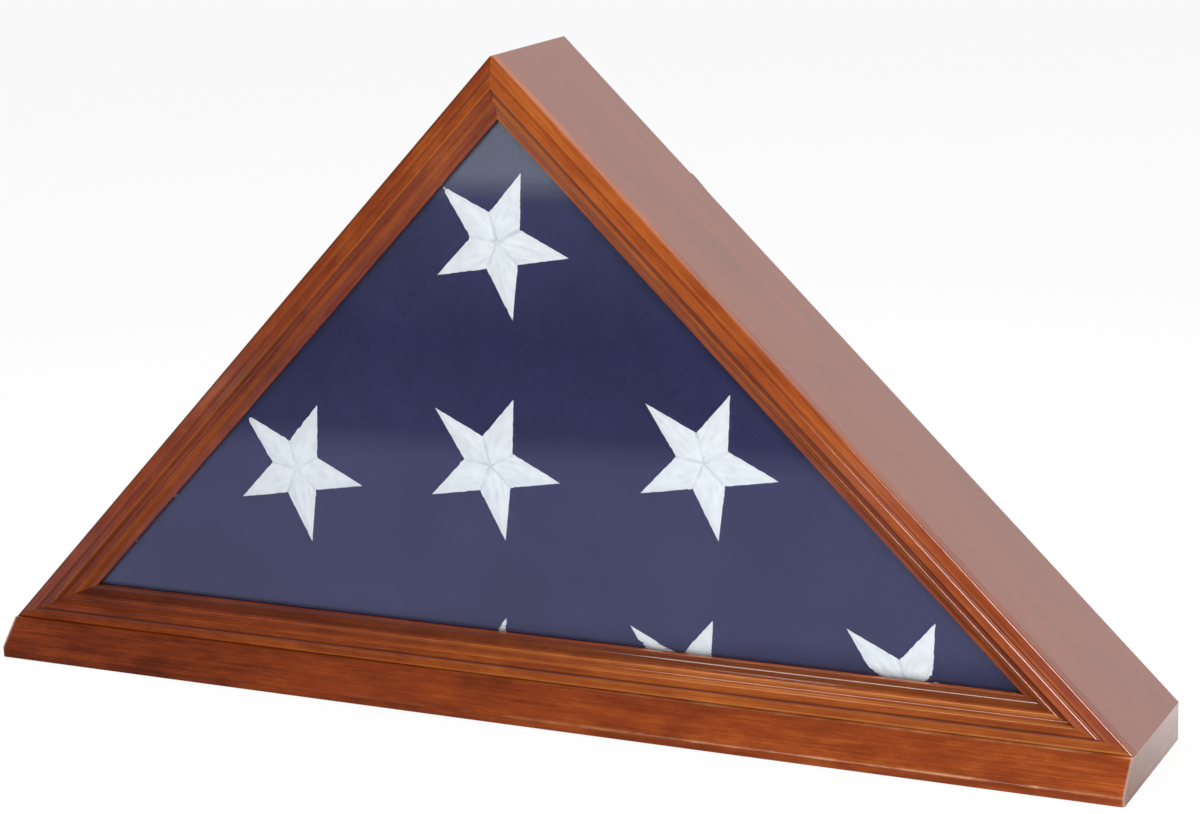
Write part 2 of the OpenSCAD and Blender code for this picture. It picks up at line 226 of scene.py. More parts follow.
def lacquered_wood(
    name,
    turn,
    shift,
    moulding_masks=None,
    paler_places=None,
    depth=0.5,
    lean=0.0,
    figure=1.0,
    patchy=1.0,
    under=0.1,
):
    """Wood with its grain turned by an angle about Y, and its pattern moved by shift. Of the
    two mask functions, the first gives where a moulding is darker, as stain that gathers and
    painted shade, and where it is paler, as stain worn thin and painted highlights; the second
    gives the plinth's paler edges, partly wear and partly painted highlights, and its ends,
    greyed by a painted reflection. depth is how dark the stain is, lean how much lighter it
    gets per metre to the right, figure how much of the grain shows, patchy how uneven the stain
    is, and under the gloss of the wood below its lacquer."""
    made, place = new_material(name)
    board = place.node(
        "ShaderNodeMapping", {}, {"Vector": place, "Location": shift, "Rotation": (0, turn, 0)}
    )
    drift = board.stretched((1.6, 14, 14)).noise(1.0, 3, 0.5)
    blotches = board.stretched((26, 85, 85)).noise(1.0, 7, 0.72)
    lines = board.stretched((2.2, 110, 110)).noise(1.0, 4, 0.55)
    bands = (board.along((0, 420, 560)) + lines * 26).sine() * 0.5 + 0.5
    fibres = board.stretched((22, 1500, 1500)).noise(1.0, 5, 0.6)
    pores = board.stretched((70, 2600, 2600)).noise(1.0, 2, 0.5).step(0.60, 0.72)

    grain = lines * 0.16 + fibres * 0.40 + bands * 0.03 - 0.295
    stain = (drift - 0.5) * 0.7 + (blotches - 0.5) * 0.62
    tone = stain * patchy + grain * figure + place.along((lean, 0, 0)) + (0.855 - depth)
    colour = tone.ramp((0.10, DEEP), (0.34, RED), (0.66, ORANGE))
    colour = colour.tint(pores * (0.4 * figure), DEEP)
    # Across the moulding: darker as gathered stain and painted shade, paler as thin stain and
    # painted highlights.
    if moulding_masks:
        pools_and_shade, rubbed_and_lit = moulding_masks(place)
        colour = colour.tint(pools_and_shade, POOLED_AND_SHADED).tint(rubbed_and_lit, RUBBED_AND_HIGHLIT)
    # On the plinth: paler edges as wear and painted highlights, and ends greyed as a painted
    # reflection.
    if paler_places:
        edges, ends = paler_places(place)
        colour = colour.tint(edges, WORN_AND_HIGHLIT).tint(ends * 0.5, END_REFLECTION_GREY)
    surface = fibres * 0.4 + pores * 0.6 + drift
    principled(
        place,
        Base_Color=colour,
        Roughness=fibres * 0.15 + 0.32,
        Normal=surface.bump(0.00006, 0.25 * figure),
        Specular_IOR_Level=under,
        Coat_Weight=1.0,
        Coat_Roughness=0.09,
        Coat_IOR=1.5,
    )
    return made


print("wood finish ready")

# %% Stain and painted light across a moulding
PER_FACE = 1 / 0.025


def moulded(direction, start, outer, groove, lip, bead, crest, more=0.0):
    """Masks across a moulding's face. One makes it darker, partly as stain that gathers and
    partly as painted shade, the other paler, partly as stain worn thin and partly as painted
    highlights.
    direction and start give the distance from its outer edge, and PER_FACE turns that into a
    share of 25 mm. outer is how dark the outer edge is, or how much paler when it is below 0,
    groove how dark the outer groove is, lip where the darker inner lip starts and how dark it is,
    bead how much paler the bead is, crest where the next ridge is and how much paler it is, and
    more is how much more the paler lines grow per metre to the right."""
    lip_at, lip_dark = lip
    crest_at, crest_paler = crest

    def masks(place):
        across = (place.along(direction) - start) * PER_FACE
        # Darker at the outer edge, outer groove, cove and inner lip: partly gathered stain,
        # partly painted shade.
        pools_and_shade = across.ramp(
            (0.03, max(outer, 0.0)),
            (0.08, 0.0),
            (0.22, 0.0),
            (0.26, groove),
            (0.285, groove * 0.8),
            (0.34, 0.05),
            (0.47, 0.0),
            (0.51, 0.30),
            (0.56, 0.30),
            (0.62, 0.0),
            (lip_at, 0.0),
            (lip_at + 0.05, lip_dark),
            (0.91, lip_dark),
            (0.925, 0.0),
        )
        # Paler at the outer edge, by the groove, on bead and crest: partly thin stain, partly
        # painted highlights.
        ridges = across.ramp(
            (0.03, max(-outer, 0.0)),
            (0.08, 0.0),
            (0.165, 0.0),
            (0.20, crest_paler * 0.5),
            (0.215, 0.0),
            (0.43, 0.0),
            (0.475, bead),
            (0.50, 0.0),
            (crest_at - 0.04, 0.0),
            (crest_at - 0.01, crest_paler),
            (crest_at + 0.03, crest_paler),
            (crest_at + 0.06, 0.0),
        )
        # Paler in patches, and with more growing to the right, where the painted highlights are.
        in_patches = place.noise(60, 3, 0.6) * 0.8 + 0.6
        return pools_and_shade, ridges * in_patches * (place.along((more, 0, 0)) + 1).step(0.2, 1.8)

    return masks


print("moulding masks ready")

# %% Dress the moulding
SLOPE = math.radians(45)
DIAGONAL = math.sqrt(0.5)
# The height where the outer edges of the side rails meet, and that of the bottom rail's edge.
PEAK, OUTER_LOW = 0.3495, 0.0195
across_left = moulded(
    (DIAGONAL, 0, -DIAGONAL),
    -PEAK * DIAGONAL,
    outer=0.45,
    groove=0.2,
    lip=(0.75, 0.25),
    bead=0.3,
    crest=(0.69, 0.2),
)
across_right = moulded(
    (-DIAGONAL, 0, -DIAGONAL),
    -PEAK * DIAGONAL,
    outer=0.1,
    groove=0.2,
    lip=(0.79, 0.2),
    bead=0.1,
    crest=(0.71, 0.5),
)
across_bottom = moulded(
    (0, 0, 1),
    OUTER_LOW,
    outer=-0.5,
    groove=0.7,
    lip=(0.66, 0.62),
    bead=0.3,
    crest=(0.61, 0.35),
    more=2.4,
)


def dress(name, material):
    """Gives a CAD node its finish."""
    slots = nodes[name].data.materials
    slots.clear()
    slots.append(material)


LEFT = {"moulding_masks": across_left, "depth": 0.58}
RIGHT = {"moulding_masks": across_right, "depth": 0.40, "lean": -0.40, "patchy": 0.75}
BOTTOM = {"moulding_masks": across_bottom, "depth": 0.46, "lean": 0.34}
for node, suffix, turn, shift, stain in (
    ("frame_left_rail", "left_rail", SLOPE, (0.3, 0.1, 0.7), LEFT),
    ("frame_right_rail", "right_rail", -SLOPE, (1.3, 0.4, 0.2), RIGHT),
    ("frame_bottom_rail", "bottom_rail", 0, (2.1, 0.9, 0.4), BOTTOM),
):
    dress(node, lacquered_wood("stained_wood_" + suffix, turn, shift, **stain))
print("wood on three rails")

# %% [markdown]
# ### Plinth and case boards
#
# The plinth's edges are paler: partly wear, where hands and dusters rub it, and partly painted
# highlights along the edge over its foot and along its top, stronger to the right. Its ends are
# paler and greyer, which is a painted reflection. The case boards behind the frame are plainer
# wood, so less of their grain shows. Both come from the same wood finish. The masks for the
# plinth's edges and ends come from a point's height, its distance from the middle and how far
# it lies to the right.


# %% Dress the boards
# Heights of the paler foot band and top edge, partly wear and partly painted highlight.
PALE_BAND_FROM, PALE_BAND_TO = (0.0034, 0.0041), (0.0046, 0.0054)
TOP_EDGE, END_FACE = (0.0186, 0.0194), (0.3284, 0.3296)


def plinth_edges(place):
    """Paler places on the plinth: the band over its foot and its top edge, partly wear and partly
    painted highlights growing to the right, and its ends, greyed by a painted reflection.
    """
    height = place.along((0, 0, 1))
    edge = height.step(*PALE_BAND_FROM) * (1 - height.step(*PALE_BAND_TO))
    top = height.step(*TOP_EDGE)
    # Paler in patches and more so to the right, where the painted highlights are strongest.
    in_patches = place.noise(45, 3, 0.6).step(0.35, 0.75) * place.along((1.8, 0, 0)).step(-0.3, 0.5)
    # The end faces, which take a painted grey reflection.
    ends = place.along((1, 0, 0)).size().step(*END_FACE)
    return (edge * 0.6 + top * 0.35) * in_patches, ends


PLINTH = {"depth": 0.53, "lean": 0.22, "paler_places": plinth_edges}
SIDE = {"depth": 0.60, "figure": 0.3, "patchy": 0.35, "under": 0.5}
for node, suffix, turn, shift, stain in (
    ("plinth_board", "plinth", 0, (3.7, 0.2, 1.9), PLINTH),
    ("case_left_side", "left_side", SLOPE, (4.4, 1.3, 0.8), SIDE),
    ("case_right_side", "right_side", -SLOPE, (5.2, 0.6, 1.1), SIDE),
    ("case_bottom_board", "bottom_board", 0, (6.1, 1.0, 0.3), SIDE),
):
    dress(node, lacquered_wood("stained_wood_" + suffix, turn, shift, **stain))
print("wood on four boards")

# %% [markdown]
# ## Bare wood and hardboard
#
# The splines across the mitres are slips of pale, unstained wood, sawn flush. The back panel is
# hardboard: pressed brown fibre, matt, with a fine felt of short fibres and no grain direction.
# So the spline's noise is stretched along its fibres, and the panel's is nearly even.


# %% Splines and back panel
def bare_spline():
    """Pale wood, cut so that its fibres show."""
    made, place = new_material("bare_spline_wood")
    fibres = place.stretched((1800, 60, 1800)).noise(1.0, 4, 0.6)
    colour = fibres.ramp((0.25, (0.38, 0.22, 0.11, 1)), (0.75, (0.62, 0.42, 0.25, 1)))
    principled(place, Base_Color=colour, Roughness=0.62, Normal=fibres.bump(0.0001, 0.5))
    return made


def hardboard():
    """Brown felt of pressed fibre, with paler flecks and slow clouds."""
    made, place = new_material("pressed_hardboard")
    felt = place.stretched((900, 900, 1600)).noise(1.0, 6, 0.7)
    clouds = place.noise(14, 3, 0.5)
    flecks = place.noise(700, 2, 0.5).step(0.60, 0.70)
    tone = felt * 0.7 + clouds * 0.5 - 0.1
    colour = tone.ramp((0.2, (0.13, 0.065, 0.03, 1)), (0.8, (0.30, 0.165, 0.085, 1)))
    colour = colour.tint(flecks * 0.35, (0.42, 0.27, 0.15, 1))
    principled(
        place, Base_Color=colour, Roughness=felt * 0.2 + 0.5, Normal=felt.bump(0.0001, 0.4)
    )
    return made


dress("corner_splines", bare_spline())
dress("back_panel", hardboard())
print("splines and panel dressed")

# %% [markdown]
# ## Metal
#
# The turn buttons and their screws are brass that has been darkened, so they show dark brown
# with a warmer metal where they are worn. The nails, points and plinth screws are plain steel.
# Both metals are a Principled BSDF that is fully metallic. Uneven roughness does most of the
# work, because a metal's look is what it mirrors.


# %% Metal finishes
def darkened_brass():
    """Brass with a brown skin, and brighter metal where it is worn."""
    made, place = new_material("darkened_brass")
    patches = place.noise(420, 4, 0.6)
    scratches = place.stretched((300, 300, 3500)).noise(1.0, 3, 0.5)
    worn = (patches * 0.7 + scratches * 0.4).step(0.56, 0.72)
    colour = worn.ramp((0.0, (0.055, 0.045, 0.028, 1)), (1.0, (0.30, 0.21, 0.09, 1)))
    principled(
        place,
        Base_Color=colour,
        Metallic=1.0,
        Roughness=0.48 - worn * 0.16 + patches * 0.1,
        Normal=scratches.bump(0.00003, 0.4),
    )
    return made


def bright_steel():
    """Plain steel with fine scratches along its length."""
    made, place = new_material("bright_steel")
    patches = place.noise(300, 4, 0.6)
    scratches = place.stretched((3000, 250, 250)).noise(1.0, 3, 0.5)
    colour = patches.ramp((0.2, (0.36, 0.36, 0.37, 1)), (0.8, (0.60, 0.60, 0.61, 1)))
    principled(
        place,
        Base_Color=colour,
        Metallic=1.0,
        Roughness=scratches * 0.25 + 0.22,
        Normal=scratches.bump(0.00002, 0.3),
    )
    return made


brass = darkened_brass()
steel = bright_steel()
for name in nodes:
    if name.startswith("turn_button"):
        dress(name, brass)
for name in ("mitre_nails", "frame_brads", "glazing_points", "plinth_screws"):
    dress(name, steel)
print("metal dressed")

# %% [markdown]
# ## Glass
#
# A thin flat pane hardly bends what is seen through it, so the glass lets light straight
# through and adds a mirror: 4 percent at a face when seen square on, and more at a low angle,
# by the fifth power of the slant. The pane's two faces nearly double it, and a faint film of
# dust makes it uneven. The Fresnel node isn't used, because it would shut light in behind the
# pane, as it does inside solid glass.


# %% Glass finish
def float_glass():
    """A see-through pane with a mirror laid over it."""
    made, place = new_material("clear_float_glass")
    film = place.noise(9, 4, 0.6)
    clear = place.node("ShaderNodeBsdfTransparent", {}, {"Color": (0.982, 0.994, 0.990, 1)})
    mirror = place.node(
        "ShaderNodeBsdfGlossy", {}, {"Color": (0.88, 0.91, 1.0, 1), "Roughness": 0.015}
    )
    slant = place.node("ShaderNodeLayerWeight", {}, {"Blend": 0.5}, "Facing")
    share = (slant.maths("POWER", slant, 5) * 0.96 + 0.04) * (film * 0.4 + 1.65)
    glass = place.node("ShaderNodeMixShader", {}, {0: share, 1: clear, 2: mirror})
    output = place.tree.nodes.new("ShaderNodeOutputMaterial")
    place.tree.links.new(glass.socket, output.inputs["Surface"])
    return made


dress("glass_pane", float_glass())
print("glass dressed")

# %% [markdown]
# ## The folded flag
#
# A flag of 5 by 9.5 feet is folded twice along its length, and then over and over into
# triangles. The result is a firm triangular bundle: flat where it lies against the glass,
# with the fold of each turn showing as a soft lobe round its edge. It is made the way a form
# like this is thrown on a wheel: one outline is extruded and scaled about the middle of the
# triangle again and again, out across the front, along the lobes of the folds and in across
# the back. Scaling a triangle about its incentre moves all three sides by the same amount.

# %% Sizes of the bundle
FRONT, BACK = -0.0259, 0.0270
FOLDS = 12
FIRST_LOBE = 0.0026
LOBE = (BACK - FRONT - FIRST_LOBE) / FOLDS
CASE_HALF, PLINTH_TOP = 0.330, 0.0195
RIM = 0.0202
BASE_Z = PLINTH_TOP + RIM
HALF_WIDTH = CASE_HALF - RIM * (1 + math.sqrt(2))
INRADIUS_SHARE = math.sqrt(2) - 1
INRADIUS = HALF_WIDTH * INRADIUS_SHARE
print("bundle: half width", round(HALF_WIDTH, 4), "inradius", round(INRADIUS, 4))

# %% A right-angled outline
LONG_EDGE = 0.1


def outline(name, half, corner, cuts):
    """A right-angled triangle in X and Z, its long side centred on the origin, its peak up.
    Its corners are rounded and its three sides are cut into short edges."""
    bpy.ops.object.select_all(action="DESELECT")
    bpy.ops.mesh.primitive_circle_add(
        vertices=4, radius=half, fill_type="NGON", rotation=(math.pi / 2, 0, 0)
    )
    made = bpy.context.active_object
    made.name = name
    bpy.ops.object.transform_apply()
    bpy.ops.object.mode_set(mode="EDIT")
    bpy.ops.mesh.select_all(action="SELECT")
    bpy.ops.mesh.bisect(plane_co=(0, 0, 0), plane_no=(0, 0, 1), clear_inner=True)
    bpy.ops.mesh.select_all(action="SELECT")
    bpy.ops.mesh.bevel(offset=corner, segments=6, affect="VERTICES")
    bpy.ops.mesh.select_mode(type="EDGE")
    bpy.ops.mesh.select_all(action="DESELECT")
    shape = bmesh.from_edit_mesh(made.data)
    for edge in shape.edges:
        edge.select_set(edge.calc_length() > LONG_EDGE)
    bmesh.update_edit_mesh(made.data)
    bpy.ops.mesh.subdivide(number_cuts=cuts)
    bpy.ops.mesh.select_mode(type="VERT")
    bpy.ops.mesh.select_all(action="SELECT")
    return made


print("an outline's edges over", LONG_EDGE, "m are cut up")


# %% Pulling an outline along a path
def pulled(name, half, corner, cuts, path, location, turn=0.0):
    """A closed form from an outline that is pulled through the places (y, inset) of a path."""
    made = outline(name, half, corner, cuts)
    inner = half * INRADIUS_SHARE
    middle = (0, 0, inner)
    first = (inner - path[0][1]) / inner
    bpy.ops.transform.resize(value=(first, 1, first), center_override=middle)
    bpy.ops.transform.translate(value=(0, path[0][0], 0))
    for (y_now, inset_now), (y_next, inset_next) in zip(path, path[1:]):
        factor = (inner - inset_next) / (inner - inset_now)
        move = {"value": (0, y_next - y_now, 0)}
        bpy.ops.mesh.extrude_region_move(TRANSFORM_OT_translate=move)
        bpy.ops.transform.resize(value=(factor, 1, factor), center_override=middle)
    bpy.ops.mesh.select_all(action="SELECT")
    bpy.ops.mesh.fill_holes(sides=0)
    bpy.ops.mesh.select_all(action="SELECT")
    bpy.ops.mesh.normals_make_consistent(inside=False)
    bpy.ops.object.mode_set(mode="OBJECT")
    made.rotation_euler = (0, turn, 0)
    made.location = location
    bpy.ops.object.transform_apply()
    return made


print("outlines can be pulled")

# %% The bundle's path
FRONT_RINGS = (0.97, 0.85, 0.7, 0.55, 0.4, 0.28, 0.18, 0.12)
FRONT_ROUND = [(0, 0.0075), (0.0002, 0.0052), (0.0008, 0.0030), (0.0019, 0.0014)]
BACK_RINGS = (0.18, 0.3, 0.45, 0.6, 0.8, 0.97)
FIRST_CREASE, CREASE, SHOULDER = 0.0008, 0.0020, 0.0005


def bundle_path():
    """From the middle of the front, round the lobes of the folds, to the middle of the back."""
    path = [(0, INRADIUS * share) for share in FRONT_RINGS]
    path += FRONT_ROUND
    for fold in range(FOLDS):
        start = FIRST_LOBE + LOBE * fold
        crease = FIRST_CREASE if fold == 0 else CREASE
        path += [(start, crease), (start + LOBE * 0.18, SHOULDER)]
        path += [(start + LOBE * 0.5, 0.0), (start + LOBE * 0.82, SHOULDER)]
    path += [(BACK - FRONT, 0.003), (BACK - FRONT, 0.008)]
    path += [(BACK - FRONT, INRADIUS * share) for share in BACK_RINGS]
    return path


bundle = pulled(
    "folded_flag_bundle",
    half=HALF_WIDTH,
    corner=0.010,
    cuts=48,
    path=bundle_path(),
    location=(0, FRONT, BASE_Z),
)
print("bundle:", len(bundle.data.vertices), "points,", len(bundle.data.polygons), "faces")

# %% [markdown]
# ### Softening the bundle
#
# Cloth is never dead straight. Each fold wanders a little in and out along its length, and the
# front, pressed by the glass, keeps only a very slow ripple. Points are moved by a smooth noise
# of their own place, which keeps neighbours together.


# %% Ripples
FRONT_WAVE = 0.00012
BACK_WAVE = 0.0009
FOLD_WANDER = 0.0007
BACK_LAYER = 9
NEAR = 0.0001


def ripple(x, z, layer=0.0):
    """Slow waves in the cloth, from -1 to 1."""
    slow = noise.noise(Vector((x * 11, z * 11, layer)))
    quick = noise.noise(Vector((x * 38, z * 38, layer + 5)))
    return slow * 0.75 + quick * 0.25


def soften(obj):
    """Ripples the front and the back, and lets each fold wander in and out."""
    for point in obj.data.vertices:
        x, y, z = point.co
        if y < FRONT + NEAR:
            point.co.y = FRONT + FRONT_WAVE + FRONT_WAVE * ripple(x, z)
        elif y > FRONT + FIRST_LOBE:
            outward = Vector((x, 0, z - BASE_Z - INRADIUS)).normalized()
            layer = math.floor((y - FRONT - FIRST_LOBE) / LOBE) * 3.7
            point.co -= outward * FOLD_WANDER * (1 + ripple(x * 1.5, z * 1.5, layer))
        if y > BACK - NEAR:
            point.co.y += BACK_WAVE * ripple(x, z, BACK_LAYER)


def only(obj):
    """Selects one object and makes it active."""
    bpy.ops.object.select_all(action="DESELECT")
    obj.select_set(True)
    bpy.context.view_layer.objects.active = obj


soften(bundle)
only(bundle)
bpy.ops.object.shade_smooth()
print("bundle softened")

# %% [markdown]
# ### The tucked end
#
# The last half turn of the flag has no room for a whole triangle, so it is a half triangle,
# and its end is tucked into the pocket behind it. It shows only at the back, as a thin flap
# with a soft upright edge from the peak to the middle of the base. The same pulled outline
# makes it, turned so that its long side lies along the left side of the bundle.

# %% Tuck
TUCK_HALF = HALF_WIDTH / math.sqrt(2) - 0.006
TUCK_BACK = 0.0027
TUCK_WAVE = 0.0009
TUCK_LAYER = 21
tuck_path = [(-0.0015, 0.004), (-0.0002, 0.0006), (0.0010, 0.0), (0.0021, 0.0006)]
tuck_path += [(0.0026, 0.0022)]
tuck_path += [(TUCK_BACK, inset) for inset in (0.006, 0.02, 0.05, 0.077)]
middle_of_side = Vector((-HALF_WIDTH / 2, BACK, BASE_Z + HALF_WIDTH / 2))
tuck_place = middle_of_side + Vector((0.0040, 0, -0.0025))
tuck = pulled(
    "folded_flag_tuck",
    half=TUCK_HALF,
    corner=0.006,
    cuts=32,
    path=tuck_path,
    location=tuck_place,
    turn=math.radians(135),
)
for point in tuck.data.vertices:
    x, y, z = point.co
    sway, swell = ripple(x, z, TUCK_LAYER), ripple(x, z, BACK_LAYER)
    point.co += Vector((TUCK_WAVE * sway, BACK_WAVE * swell, 0))
only(tuck)
bpy.ops.object.shade_smooth()
print("tuck:", len(tuck.data.polygons), "faces")

# %% [markdown]
# ### Navy cloth
#
# The field of the flag is dyed woven cloth. Its threads run along the rows of stars, which the
# folding turns by 45 degrees. Two sines at right angles make the over and under of a plain
# weave, slow noise makes the dye a little uneven, and fine noise stands for loose fibres.

# %% Cloth finish
STAR_TURN = math.radians(45.2)
THREAD_PITCH = 0.00055


def navy_bunting():
    """Dark blue plain weave, matt, with a faint blue sheen from its loose fibres."""
    made, place = new_material("navy_bunting")
    cloth = place.node("ShaderNodeMapping", {}, {"Vector": place, "Rotation": (0, STAR_TURN, 0)})
    turns = 2 * math.pi / THREAD_PITCH
    wander = place.noise(25, 2) * 3
    warp = (cloth.along((turns, 0, 0)) + wander).sine()
    weft = (cloth.along((0, 0, turns)) + wander).sine()
    weave = warp * weft * 0.5 + 0.5
    slubs = cloth.stretched((60, 900, 1800)).noise(1.0, 3, 0.6)
    dye = place.noise(20, 4, 0.55)
    fuzz = place.noise(650, 3, 0.7)
    tone = dye * 0.36 + slubs * 0.28 + weave * 0.04 + fuzz * 0.30
    colour = tone.ramp((0.35, (0.007, 0.007, 0.040, 1)), (0.62, (0.021, 0.022, 0.088, 1)))
    principled(
        place,
        Base_Color=colour,
        Roughness=0.92,
        Specular_IOR_Level=0.1,
        Sheen_Weight=0.1,
        Sheen_Roughness=0.5,
        Sheen_Tint=(0.3, 0.3, 0.9, 1),
        Normal=(weave * 0.6 + slubs * 0.4).bump(0.00005, 0.12),
    )
    return made


cloth = navy_bunting()
for piece in (bundle, tuck):
    piece.data.materials.append(cloth)
    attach(piece, "case")
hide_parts("folded_flag")
print("flag dressed")

# %% [markdown]
# ## Embroidered stars
#
# Each star is a raised patch of satin stitch. Thread is drawn across every arm, so an arm is
# highest along its middle and lowest at its edges, with a crease from the centre of the star
# to each inner corner. The edge is not a clean line: each stitch ends a hair further in or
# out. One star is built as a fan of ten wedges and subdivided. It is copied to each place of
# the field, its upper arms are leaned a little because folded cloth is pulled on its bias, and
# it is cut where the bundle folds away. Then its points are raised by the height of the thread
# and laid on the cloth. A displacement in the material would be quicker to set up, but it
# would not reach the mesh that is exported.

# %% One flat star
STAR_R = 0.041
INNER_R = STAR_R * math.cos(math.radians(72)) / math.cos(math.radians(36))
ARMS = 5
STAR_CUTS, EDGE_STRIP = 19, 0.0006


def flat_star():
    """A star of ten wedges about the origin, in X and Z."""
    bpy.ops.object.select_all(action="DESELECT")
    bpy.ops.mesh.primitive_circle_add(
        vertices=2 * ARMS, radius=STAR_R, fill_type="TRIFAN", rotation=(math.pi / 2, 0, 0)
    )
    made = bpy.context.active_object
    made.name = "flat_star"
    bpy.ops.object.transform_apply()
    bpy.ops.object.mode_set(mode="EDIT")
    shape = bmesh.from_edit_mesh(made.data)
    tips = [p for p in shape.verts if p.co.length > STAR_R / 2]
    tips.sort(key=lambda p: math.atan2(p.co.z, p.co.x))
    first_arm = max(range(2 * ARMS), key=lambda k: tips[k].co.z)
    bpy.ops.mesh.select_all(action="DESELECT")
    for k in range(ARMS):
        tips[(first_arm + 1 + 2 * k) % (2 * ARMS)].select_set(True)
    bmesh.update_edit_mesh(made.data)
    factor = INNER_R / STAR_R
    bpy.ops.transform.resize(value=(factor, factor, factor), center_override=(0, 0, 0))
    bpy.ops.mesh.select_all(action="SELECT")
    bpy.ops.mesh.subdivide(number_cuts=STAR_CUTS)
    bpy.ops.mesh.select_all(action="SELECT")
    bpy.ops.mesh.inset(thickness=EDGE_STRIP, depth=0)
    bpy.ops.object.mode_set(mode="OBJECT")
    return made


template = flat_star()
print("star template:", len(template.data.polygons), "faces")


# %% Places on an arm
ARM_STEP = 360 / ARMS
HALF_STEP = math.radians(ARM_STEP / 2)
ARM_FOOT = STAR_R - INNER_R * math.cos(HALF_STEP)
EDGE_SLOPE = math.atan2(INNER_R * math.sin(HALF_STEP), ARM_FOOT)


def nearest_arm(x, z):
    """Angle of the nearest arm, for a star with an arm straight up."""
    return math.radians(round(math.degrees(math.atan2(x, z)) / ARM_STEP) * ARM_STEP)


def arm_of(x, z, arm):
    """Distance along an arm and across it."""
    along = x * math.sin(arm) + z * math.cos(arm)
    across = x * math.cos(arm) - z * math.sin(arm)
    return along, across


def from_edge(along, across):
    """Distance from the nearest edge of the star."""
    return (STAR_R - along) * math.sin(EDGE_SLOPE) - abs(across) * math.cos(EDGE_SLOPE)


print("an arm's sides lean", round(math.degrees(EDGE_SLOPE), 1), "degrees from its middle")

# %% The form of the stitching
EDGE_LOFT, ARM_LOFT, LEAST_LOFT = 0.00016, 0.00034, 0.00014
CREASE_DEPTH, PUCKER_HEIGHT, DENT_HEIGHT = 0.00018, 0.00016, 0.00010
ARM_RISE, LIP_RISE, PUCKER_RISE = 0.0055, 0.0004, 0.003
CREASE_WIDTH, CREASE_RISE = 0.0026, 0.002


def ease(value):
    """0 below 0, 1 above 1, and smooth between them."""
    value = max(0.0, min(1.0, value))
    return value * value * (3 - 2 * value)


def stitch_height(along, across, seed):
    """Height of the thread over the cloth: a ridge along each arm, with puckers in it."""
    edge = from_edge(along, across)
    crease = along * math.sin(HALF_STEP) - abs(across) * math.cos(HALF_STEP)
    loft = EDGE_LOFT + ARM_LOFT * ease(edge / ARM_RISE)
    loft -= CREASE_DEPTH * (1 - ease(crease / CREASE_WIDTH)) * ease(edge / CREASE_RISE)
    pucker = noise.noise(Vector((along * 70, across * 420, seed)))
    dent = noise.noise(Vector((along * 190, across * 190, seed + 3)))
    loft += (PUCKER_HEIGHT * pucker + DENT_HEIGHT * dent) * ease(edge / PUCKER_RISE)
    return max(loft, LEAST_LOFT) * (0.6 + 0.4 * ease(edge / LIP_RISE))


print("stitch height in the middle of an arm:", round(stitch_height(0.012, 0.002, 1), 6))


# %% The field of stars
COLUMN_GAP, ROW_GAP = 0.0928, 0.0770
FIELD_X, FIELD_Z = -0.017, 0.133
STRAY = {(-2, 2): (0.0028, -0.0055), (1, 1): (0.0, -0.0010), (1, -1): (0.0028, -0.0004)}


def inset_at(x, z):
    """How far a point lies inside the bundle's outline."""
    side = (HALF_WIDTH + BASE_Z - abs(x) - z) / math.sqrt(2)
    return min(side, z - BASE_Z)


def star_places():
    """Centres of the stars that show on the front, as x and z. Rows are staggered, and a few
    stars sit a little off, as a hand-guided machine leaves them."""
    found = []
    for column in range(-6, 7):
        for row in range(-6, 7):
            if (column + row) % 2 == 0:
                a, b = column * COLUMN_GAP, row * ROW_GAP
                x = FIELD_X + a * math.cos(STAR_TURN) - b * math.sin(STAR_TURN)
                z = FIELD_Z + a * math.sin(STAR_TURN) + b * math.cos(STAR_TURN)
                if (column, row) in STRAY:
                    x, z = x + STRAY[column, row][0], z + STRAY[column, row][1]
                if inset_at(x, z) > -STAR_R:
                    found.append((x, z))
    return found


print("places for stars:", len(star_places()))

# %% Stitches of one star
RAGGED, RAGGED_SCALE = 0.0009, 2500
ON_EDGE, TIP_KEPT = 0.0001, 0.0005
UV_SCALE = 10


def stitch(made, number):
    """Gives a flat star its ragged edge, the heights of its thread, and a UV map that holds
    the place along and across each arm."""
    stitches = made.data.uv_layers.new(name="stitches")
    for face in made.data.polygons:
        arm = nearest_arm(face.center.x, face.center.z)
        for loop in face.loop_indices:
            point = made.data.vertices[made.data.loops[loop].vertex_index].co
            stitches.data[loop].uv = [v * UV_SCALE for v in arm_of(point.x, point.z, arm)]
    heights = made.data.attributes.new("height", "FLOAT", "POINT")
    for point in made.data.vertices:
        arm = nearest_arm(point.co.x, point.co.z)
        along, across = arm_of(point.co.x, point.co.z, arm)
        heights.data[point.index].value = stitch_height(along, across, number * 7 + arm * 2)
        outward = Vector((point.co.x, 0, point.co.z)).normalized()
        if from_edge(along, across) < ON_EDGE and along < STAR_R - TIP_KEPT:
            uneven = noise.noise(point.co * RAGGED_SCALE + Vector((0, number, 0)))
            point.co += outward * RAGGED * uneven


print("edges are ragged by up to", RAGGED, "m")

# %% Cutting a star and laying it down
BIAS_PULL = 0.085
FOLD_MARGIN = 0.0010
SINK = 0.00004
SKIRT = 0.0003


def cut_at_folds(made):
    """Cuts a star along the three folds of the bundle."""
    low = (0, 0, BASE_Z + FOLD_MARGIN)
    high = (0, 0, BASE_Z + HALF_WIDTH - FOLD_MARGIN * math.sqrt(2))
    bpy.ops.object.mode_set(mode="EDIT")
    for spot, way in ((low, (0, 0, -1)), (high, (1, 0, 1)), (high, (-1, 0, 1))):
        bpy.ops.mesh.select_all(action="SELECT")
        bpy.ops.mesh.bisect(plane_co=spot, plane_no=way, clear_outer=True)
    bpy.ops.object.mode_set(mode="OBJECT")


